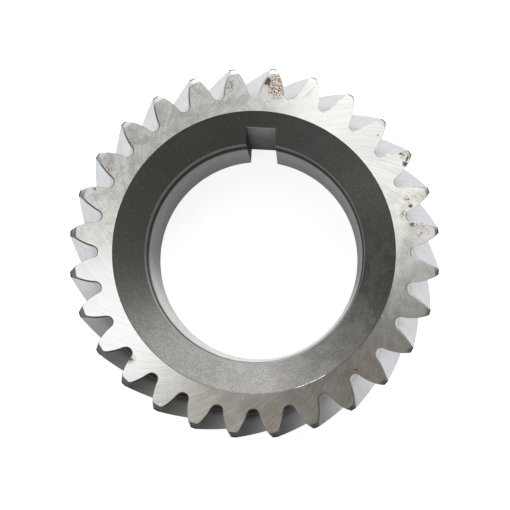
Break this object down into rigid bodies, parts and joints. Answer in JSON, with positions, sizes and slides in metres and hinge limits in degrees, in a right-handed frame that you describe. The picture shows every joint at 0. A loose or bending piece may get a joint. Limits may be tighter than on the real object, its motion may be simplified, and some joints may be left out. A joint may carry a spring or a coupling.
{
  "type": "crankshaft gear",
  "caption": "Helical-toothed steel timing gear, a thick ring with a dished front, a ground bore and one keyway, for pressing onto an engine's crankshaft.",
  "frame": {"origin": "on the bore's axis, at the gear's flat back face", "axes": "+Z along the bore's axis from the back face to the dished front face; +Y from the axis to the middle of the keyway; +X completes the right-handed frame"},
  "size_m": [0.1232, 0.1232, 0.041],
  "materials": {
    "gear_steel": "ground faces with fine spiral grinding marks, turned dish, a few light rust stains"
  },
  "bodies": {
    "root": {"crankshaft_gear": "gear_steel"}
  },
  "joints": []
}
